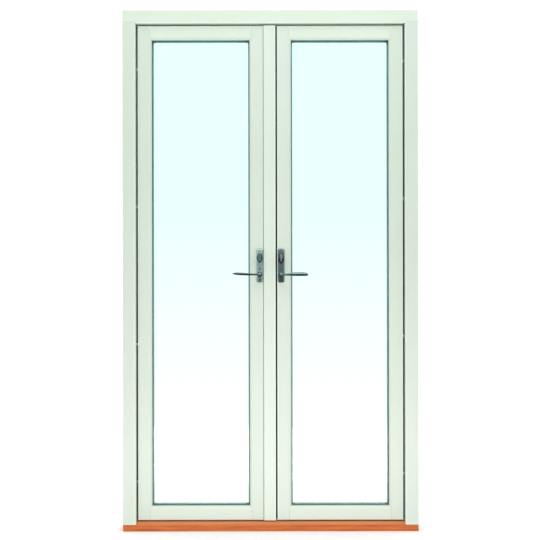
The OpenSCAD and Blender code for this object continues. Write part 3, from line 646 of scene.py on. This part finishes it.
def buildGlazing(side):
    low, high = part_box(f"{side}_inner_pane")
    bite = glazing["bite"]
    sight = frameFrom(low.x + bite, high.x - bite, low.z + bite, high.z - bite)
    roomLip = [(out, glazing["roomFace"] + depth) for out, depth in glazing["gasket"]]
    backLip = [(out, glazing["backFace"] - depth) for out, depth in glazing["gasket"]]
    room = sweepProfile(f"{side}_gasketRoom", sight, roomLip, gasketRubber)
    back = sweepProfile(f"{side}_gasketBack", sight, backLip, gasketRubber)
    gaskets = joinPieces(f"{side}_glazingGaskets", [room, back])
    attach(gaskets, f"{side}_leaf")
    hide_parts(f"{side}_glazing_gaskets")
    around = frameFrom(low.x, high.x, low.z, high.z, glazing["key"])
    bar = sweepProfile(f"{side}_spacerBar", around, glazing["bar"], spacerBar)
    paintRings(bar, len(glazing["bar"]), glazing["keyBands"], cornerKey)
    edge = frameFrom(low.x, high.x, low.z, high.z)
    butyl = sweepProfile(f"{side}_butyl", edge, glazing["butyl"], sealRubber)
    spacer = joinPieces(f"{side}_paneSpacer", [bar, butyl])
    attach(spacer, f"{side}_leaf")
    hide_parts(f"{side}_pane_spacer")


buildFrameSeal()
for side, sign in sides.items():
    buildSealsAndGapShade(side, sign)
    buildGlazing(side)
print("seals and glazing built")


def middleOf(node):
    low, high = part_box(node)
    return (low + high) / 2


# the handles, measured from the spindle's axis; each side has its own knob and grip, and its metals are
# copies of one metal painted lighter or darker as painted reflection
handle = {
    "axisX": 43 * mm, "axisZ": middleOf("right_spindle").z, "faceY": 19 * mm, "gripY": -28 * mm,
    "plateWide": 25.6 * mm, "plateUp": 101.8 * mm, "plateDown": 32.3 * mm, "cornerR": 7.5 * mm,
    # depth and inset of the plate's outline: an upright rim, a rolled edge, the flat field
    "plateSteps": ((27.0, 0.0), (24.6, 0.0), (23.8, 0.25), (22.6, 0.9), (21.4, 1.8), (20.4, 2.8),
                   (19.6, 3.8), (19.2, 4.6), (19.0, 5.4)),
    "screws": (94.5 * mm, 22.6 * mm, -22 * mm), "screwTurns": (12, 57, 33),
    "turnUp": 67 * mm,
}


def plateOutline(x, inset):
    # the plate's outline with round corners, shrunk by inset
    half = handle["plateWide"] / 2 - inset
    top = handle["axisZ"] + handle["plateUp"] - inset
    bottom = handle["axisZ"] - handle["plateDown"] + inset
    r = max(handle["cornerR"] - inset, 0.5 * mm)
    steps = 8                                    # in each round corner
    points = []
    for cx, cz, begin in ((x + half - r, top - r, 0), (x - half + r, top - r, 90),
                          (x - half + r, bottom + r, 180), (x + half - r, bottom + r, 270)):
        for i in range(steps + 1):
            angle = math.radians(begin + i * 90 / steps)
            points.append((cx + r * math.cos(angle), cz + r * math.sin(angle)))
    return points


def buildPlate(side, sign):
    x = sign * handle["axisX"]
    rings = [[Vector((px, y * mm, pz)) for px, pz in plateOutline(x, inset * mm)]
             for y, inset in handle["plateSteps"]]
    plate = pieceFromRings(f"{side}_plate", rings, plateMetal[side])
    sharpen(plate, 60)
    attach(plate, f"{side}_leaf")
    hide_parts(f"{side}_handle_plate")


crossHead = {
    # outwards from the plate and radius in millimetres; the last four bands line the cross recess
    "profile": ((-8.0, 2.0), (-2.2, 2.0), (-0.3, 3.9), (0.2, 3.9), (0.34, 3.7), (0.5, 3.1), (0.56, 2.6),
                (0.1, 2.35), (-1.3, 1.5), (-2.0, 0.6)),
    "recess": (6, 7, 8, 9), "crossed": (-1.9, 0.2), "waist": 0.42, "count": 48,
}


def crossScrew(name, centre, outward, degrees, scale, steel, recess):
    # a countersunk head with a cross recess, facing outward
    aside = outward.orthogonal().normalized()
    upward = outward.cross(aside)
    turn = math.radians(degrees)
    waist = crossHead["waist"]
    inner, outer = crossHead["crossed"]
    rings = []
    for out, r in crossHead["profile"]:
        ring = []
        for i in range(crossHead["count"]):
            angle = 2 * math.pi * i / crossHead["count"]
            reach = r * scale * mm
            if r < 2.5 and inner < out < outer:
                reach *= waist + (1 - waist) * abs(math.cos(2 * (angle - turn))) ** 5
            ring.append(centre + outward * out * scale * mm + aside * reach * math.cos(angle)
                        + upward * reach * math.sin(angle))
        rings.append(ring)
    head = pieceFromRings(name, rings, steel)
    paintRings(head, crossHead["count"], crossHead["recess"], recess)
    sharpen(head, 30)
    return head


def buildPlateScrews(side, sign):
    heads = []
    for index, (up, degrees) in enumerate(zip(handle["screws"], handle["screwTurns"])):
        centre = Vector((sign * handle["axisX"], handle["faceY"], handle["axisZ"] + up))
        heads.append(crossScrew(f"{side}_screwHead{index}", centre, Vector((0, -1, 0)), degrees, 1.0,
                                screwSteel, recessPaintedHighlight))
    screws = joinPieces(f"{side}_plateScrews", heads)
    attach(screws, f"{side}_leaf")
    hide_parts(f"{side}_handle_screws")


# a thumb turn: an oval rose with a rounded rim and a tall knob; the right one's knob tapers downwards
turn = {
    # depth, half width, half height in millimetres
    "left": ((18.8, 11.0, 18.4), (17.4, 11.6, 19.0), (16.2, 11.6, 19.0), (15.2, 11.0, 18.4),
             (14.4, 9.6, 17.5), (13.8, 7.6, 16.6), (12.4, 6.6, 16.1), (6.0, 6.2, 15.7), (2.6, 6.0, 15.4),
             (1.5, 5.4, 14.8), (1.0, 4.4, 13.8), (1.6, 3.4, 12.6), (2.0, 2.0, 10.0)),
    "right": ((18.8, 12.0, 20.6), (17.4, 12.5, 21.2), (16.2, 12.5, 21.2), (15.2, 11.8, 20.4),
              (14.2, 10.0, 19.0), (13.2, 7.4, 18.0), (11.8, 6.4, 17.4), (6.0, 6.0, 16.8), (2.6, 5.8, 16.4),
              (1.5, 5.2, 15.8), (1.0, 4.2, 14.6), (1.1, 3.0, 13.0), (1.2, 1.6, 10.0)),
    "drop": {"left": 0.0, "right": 1.6 * mm},    # of the rose's middle below the turn's axis
    "taper": {"left": 0.0, "right": 0.62},       # width lost at the knob's foot
    "knobFrom": 5, "rimBands": range(6), "count": 56,
}


def buildTurn(side, sign):
    x = sign * handle["axisX"]
    z = handle["axisZ"] + handle["turnUp"] - turn["drop"][side]
    rings = []
    for index, (y, wide, tall) in enumerate(turn[side]):
        ring = ovalRing((0, y * mm, 0), wide * mm, tall * mm, turn["count"])
        if index >= turn["knobFrom"]:
            for point in ring:
                share = max(0, 0.5 - 0.5 * point.z / (tall * mm))          # 0 at the top, 1 at the foot
                point.x *= 1.0 - turn["taper"][side] * share ** 1.3
        rings.append([point + Vector((x, 0, z)) for point in ring])
    knob = pieceFromRings(f"{side}_turn", rings, turnFace[side])
    # the rose's rim takes the darker copy of the metal: painted shade
    paintRings(knob, turn["count"], turn["rimBands"], rimPaintedShade[side])
    sharpen(knob, 60)
    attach(knob, f"{side}_turn_body")
    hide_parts(f"{side}_thumb_turn")


# a lever: a turned neck and a slim root that swells to a blade with a soft ridge along its front
grip = {
    # reach, top, bottom, front ridge, depth in front, depth behind, in millimetres
    "left": ((0, 3.0, -3.6, 0.6, 4.0, 3.8), (8, 3.2, -3.8, 0.8, 4.0, 3.8), (16, 3.4, -4.0, 0.9, 4.1, 3.9),
             (26, 3.9, -4.2, 1.2, 4.4, 4.1), (38, 4.9, -4.3, 1.7, 4.9, 4.4), (50, 6.0, -4.3, 2.3, 5.4, 4.6),
             (62, 7.0, -4.0, 3.0, 5.8, 4.8), (74, 7.8, -3.5, 3.5, 5.9, 4.8), (85, 8.2, -2.8, 3.9, 5.7, 4.5),
             (94, 8.1, -1.8, 4.0, 5.1, 4.0), (100, 7.3, -0.6, 4.0, 4.3, 3.3),
             (104, 6.2, 0.8, 3.9, 3.3, 2.6), (106.8, 5.0, 2.2, 3.8, 2.0, 1.7),
             (107.9, 4.2, 3.1, 3.7, 1.0, 0.9)),
    "right": ((0, 3.2, -4.6, 0.2, 4.2, 4.0), (8, 3.2, -4.8, 0.2, 4.2, 4.0), (16, 3.4, -5.1, 0.3, 4.3, 4.0),
              (25, 3.9, -5.4, 0.4, 4.6, 4.2), (33, 5.2, -5.8, 0.7, 5.2, 4.6),
              (41, 6.9, -6.2, 1.0, 5.8, 4.9), (50, 8.0, -6.5, 1.2, 6.2, 5.0),
              (62, 8.7, -6.8, 1.4, 6.4, 5.1), (76, 9.0, -6.9, 1.4, 6.4, 5.1),
              (88, 8.8, -6.8, 1.1, 6.1, 4.9), (95, 8.2, -6.5, 0.5, 5.6, 4.5),
              (100, 6.6, -6.0, -0.3, 4.7, 3.8), (104.5, 3.6, -5.1, -1.0, 3.3, 2.7),
              (107.0, 1.0, -3.8, -1.4, 2.0, 1.7), (108.0, -0.5, -2.6, -1.5, 1.0, 0.9)),
    "upperFront": 1.65, "lowerFront": 1.85, "back": 2.0,       # powers of the section, 2 is round
    # depth and radius of the neck: a collar on the plate, a waist, a domed end
    "neck": ((18.6, 10.3), (17.8, 10.6), (15.6, 10.6), (14.8, 10.3), (14.4, 9.6), (14.3, 8.4), (14.0, 7.2),
             (12.6, 6.3), (8.0, 5.9), (-6.0, 5.7), (-18.0, 5.9), (-31.0, 6.3), (-33.0, 6.4), (-33.9, 6.1),
             (-34.4, 5.4), (-34.7, 4.2), (-34.8, 2.4)),
    "collarBands": range(7), "endBands": range(13, 17), "count": 48,
}


def bladeRing(x, y, z, top, bottom, ridge, front, behind):
    # one section of the grip, with its widest point at the ridge
    ring = []
    for i in range(grip["count"]):
        angle = 2 * math.pi * i / grip["count"]
        c, s = math.cos(angle), math.sin(angle)
        tall = top - ridge if s > 0 else ridge - bottom
        deep = front if c > 0 else behind
        power = grip["back"] if c <= 0 else grip["upperFront"] if s > 0 else grip["lowerFront"]
        ring.append(Vector((x, y - deep * mm * math.copysign(abs(c) ** (2 / power), c),
                            z + ridge * mm + tall * mm * math.copysign(abs(s) ** (2 / power), s))))
    return ring


def buildLever(side, sign):
    x, z = sign * handle["axisX"], handle["axisZ"]
    collars = [ovalRing((x, y * mm, z), r * mm, r * mm, grip["count"]) for y, r in grip["neck"]]
    neck = pieceFromRings(f"{side}_neck", collars, gripMetal[side])
    # the collar takes the darker copy of the metal: painted shade where the grip shades it
    paintRings(neck, grip["count"], grip["collarBands"], rimPaintedShade[side])
    # the domed end takes the lighter copy: painted highlight
    paintRings(neck, grip["count"], grip["endBands"], endPaintedHighlight)
    sections = [bladeRing(x + sign * reach * mm, handle["gripY"], z, *shape)
                for reach, *shape in grip[side]]
    blade = pieceFromRings(f"{side}_grip", sections, gripMetal[side])
    lever = joinPieces(f"{side}_leverHandle", [neck, blade])
    sharpen(lever, 60)
    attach(lever, f"{side}_lever_body")
    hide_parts(f"{side}_lever")


for side, sign in sides.items():
    buildPlate(side, sign)
    buildPlateScrews(side, sign)
    buildTurn(side, sign)
    buildLever(side, sign)
print("handles built")


# screws in the edge strips and in the strike plates
edgeScrews = {
    "shares": (0.03, 0.20, 0.37, 0.63, 0.80, 0.97),            # of the leaf's height
    "scale": 0.82, "sunk": 0.25 * mm, "apart": 14 * mm, "strikeThick": 2 * mm,
    "edgeTurns": (17, 31), "strikeTurns": (23, 41),            # first slot and step, in degrees
}


def buildEdgeScrews(side, sign):
    low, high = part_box(f"{side}_faceplate")
    leafLow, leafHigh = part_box(f"{side}_meeting_stile")
    outer = high.x if sign < 0 else low.x                      # the face towards the other leaf
    first, step = edgeScrews["edgeTurns"]
    heads = []
    for index, share in enumerate(edgeScrews["shares"]):
        centre = Vector((outer + sign * edgeScrews["sunk"], (low.y + high.y) / 2,
                         leafLow.z + share * (leafHigh.z - leafLow.z)))
        heads.append(crossScrew(f"{side}_edgeScrew{index}", centre, Vector((-sign, 0, 0)),
                                first + step * index, edgeScrews["scale"], zincPlate, recessPaintedShade))
    screws = joinPieces(f"{side}_edgeScrews", heads)
    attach(screws, f"{side}_leaf")


def buildStrikeScrews():
    low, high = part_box("strike_plates")
    inward = edgeScrews["strikeThick"] - edgeScrews["sunk"]
    first, step = edgeScrews["strikeTurns"]
    heads = []
    for side in sides:
        rod = middleOf(f"{side}_upper_rod")
        for z, outward in ((low.z + inward, 1), (high.z - inward, -1)):
            for offset in (-edgeScrews["apart"], edgeScrews["apart"]):
                centre = Vector((rod.x + offset, rod.y, z))
                heads.append(crossScrew(f"strikeScrew{len(heads)}", centre, Vector((0, 0, outward)),
                                        first + step * len(heads), edgeScrews["scale"], zincPlate,
                                        recessPaintedShade))
    screws = joinPieces("strikeScrews", heads)
    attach(screws, "frame")


buildStrikeScrews()
for side, sign in sides.items():
    buildEdgeScrews(side, sign)
print("edge hardware built")


# stage: pale floor, white surroundings, soft light from the sides and above
studio = {
    "backdrop": 1.16, "roomside": 0.80,                            # what the camera sees behind the doors
    "back": 0.95, "flanks": 0.535, "above": 0.73, "middle": 0.39,  # what lights them
    "floor": (0.96, 0.95, 0.94, 1), "floorSize": 14, "floorGlow": 0.17, "mirrored": 0.10,
    "fadeFrom": 0.9, "fadeTo": 2.4,                                # where the floor turns into the backdrop
}
lamps = {
    "overheadLamp": {"place": (0.2, -2.1, 3.4), "aim": (0, 0, 1.9), "size": (2.6, 1.2), "power": 22,
                     "colour": (1, 1, 1), "mirrored": True, "spread": 180},
    "browLamp": {"place": (0, -2.2, 2.5), "aim": (0, 0, 2.12), "size": (2.6, 0.2), "power": 1.3,
                 "colour": (1, 1, 1), "mirrored": False, "spread": 60},
    "footLamp": {"place": (0, -1.1, 0.12), "aim": (0, 0, 0.25), "size": (2.4, 0.3), "power": 8.6,
                 "colour": (1, 0.90, 0.96), "mirrored": False, "spread": 180},
}
view = {"lens": 86.87, "sensor": 36, "place": (-0.0017, -5.2, 1.0426), "roll": 0.09}


def buildWorld():
    world = bpy.data.worlds.new("studio")
    world.use_nodes = True
    tree = world.node_tree
    split = addNode(tree, "ShaderNodeSeparateXYZ")
    tree.links.new(addNode(tree, "ShaderNodeTexCoord").outputs["Generated"], split.inputs[0])
    away, rise = split.outputs["Y"], split.outputs["Z"]
    sideways = doMath(tree, "ABSOLUTE", split.outputs["X"])
    # a dim band in the middle of the room, so that gaps and polished faces read dark
    band = doMath(tree, "MULTIPLY", mapRange(tree, sideways, 0.22, 0.50, 1.0, 0.0),
                  mapRange(tree, away, -0.30, -0.05, 1.0, 0.0))
    band = doMath(tree, "MULTIPLY", band, mapRange(tree, rise, 0.18, 0.50, 1.0, 0.0))
    around = mapRange(tree, away, -0.2, 0.3, studio["flanks"], studio["back"])
    overhead = mapRange(tree, rise, 0.25, 0.8, 0.0, studio["above"] - studio["flanks"])
    around = doMath(tree, "ADD", around, overhead)
    lighting = mapRange(tree, band, 0.0, 1.0, around, studio["middle"])
    room = mapRange(tree, rise, 0.0, 0.45, studio["backdrop"], studio["roomside"])
    seen = mapRange(tree, away, -0.25, 0.25, room, studio["backdrop"])
    path = addNode(tree, "ShaderNodeLightPath")
    direct = doMath(tree, "MAXIMUM", path.outputs["Is Camera Ray"], path.outputs["Is Transmission Ray"])
    background = tree.nodes["Background"]
    background.inputs["Color"].default_value = (1, 1, 1, 1)
    tree.links.new(mapRange(tree, direct, 0.0, 1.0, lighting, seen), background.inputs["Strength"])
    scene.world = world


def addLamp(name, settings):
    data = bpy.data.lights.new(name, "AREA")
    data.shape = "RECTANGLE"
    data.size, data.size_y = settings["size"]
    data.energy = settings["power"]
    data.color = settings["colour"]
    data.spread = math.radians(settings["spread"])
    lamp = bpy.data.objects.new(name, data)
    lamp.visible_camera = False
    lamp.visible_glossy = settings["mirrored"]
    lamp.location = settings["place"]
    beam = Vector(settings["aim"]) - lamp.location
    lamp.rotation_euler = beam.to_track_quat("-Z", "Y").to_euler()
    scene.collection.objects.link(lamp)


def floorMaterial():
    material = bpy.data.materials.new("paleFloor")
    material.use_nodes = True
    tree = material.node_tree
    principled = tree.nodes["Principled BSDF"]
    setInputs(principled, {"Base Color": studio["floor"], "Roughness": 0.85, "Specular IOR Level": 0.1,
                           "Emission Color": (1, 1, 1, 1), "Emission Strength": studio["floorGlow"]})
    path = addNode(tree, "ShaderNodeLightPath")
    # the floor fades into the white backdrop further out
    distance = addNode(tree, "ShaderNodeVectorMath", operation="LENGTH")
    tree.links.new(addNode(tree, "ShaderNodeTexCoord").outputs["Object"], distance.inputs[0])
    far = mapRange(tree, distance.outputs["Value"], studio["fadeFrom"], studio["fadeTo"], 0.0, 1.0)
    seen = doMath(tree, "MAXIMUM", path.outputs["Is Camera Ray"], path.outputs["Is Transmission Ray"])
    white = addNode(tree, "ShaderNodeEmission", Color=(1, 1, 1, 1), Strength=studio["backdrop"])
    fade = addNode(tree, "ShaderNodeMixShader")
    tree.links.new(doMath(tree, "MULTIPLY", far, seen), fade.inputs[0])
    tree.links.new(principled.outputs[0], fade.inputs[1])
    tree.links.new(white.outputs[0], fade.inputs[2])
    # polished metal mirrors a dimmer floor
    dim = addNode(tree, "ShaderNodeEmission", Color=studio["floor"], Strength=studio["mirrored"])
    either = addNode(tree, "ShaderNodeMixShader")
    mirror = doMath(tree, "SUBTRACT", path.outputs["Is Glossy Ray"], path.outputs["Is Transmission Ray"])
    tree.links.new(mirror, either.inputs[0])
    tree.links.new(fade.outputs[0], either.inputs[1])
    tree.links.new(dim.outputs[0], either.inputs[2])
    tree.links.new(either.outputs[0], tree.nodes["Material Output"].inputs["Surface"])
    return material


def buildFloor():
    mesh = bpy.data.meshes.new("floor")
    bm = bmesh.new()
    bmesh.ops.create_grid(bm, x_segments=1, y_segments=1, size=studio["floorSize"])
    bm.to_mesh(mesh)
    bm.free()
    mesh.materials.append(floorMaterial())
    floor = bpy.data.objects.new("floor", mesh)
    floor.location.z = cadBox[0][2] - 0.5 * mm
    scene.collection.objects.link(floor)


def buildCamera():
    data = bpy.data.cameras.new("camera")
    data.lens = view["lens"]
    data.sensor_width = view["sensor"]
    data.clip_end = 60
    camera = bpy.data.objects.new("camera", data)
    camera.location = view["place"]
    camera.rotation_euler = (math.radians(90), math.radians(view["roll"]), 0)
    scene.collection.objects.link(camera)
    scene.camera = camera


buildWorld()
for name, settings in lamps.items():
    addLamp(name, settings)
buildFloor()
buildCamera()
scene.view_settings.view_transform = "Standard"
print("stage ready")
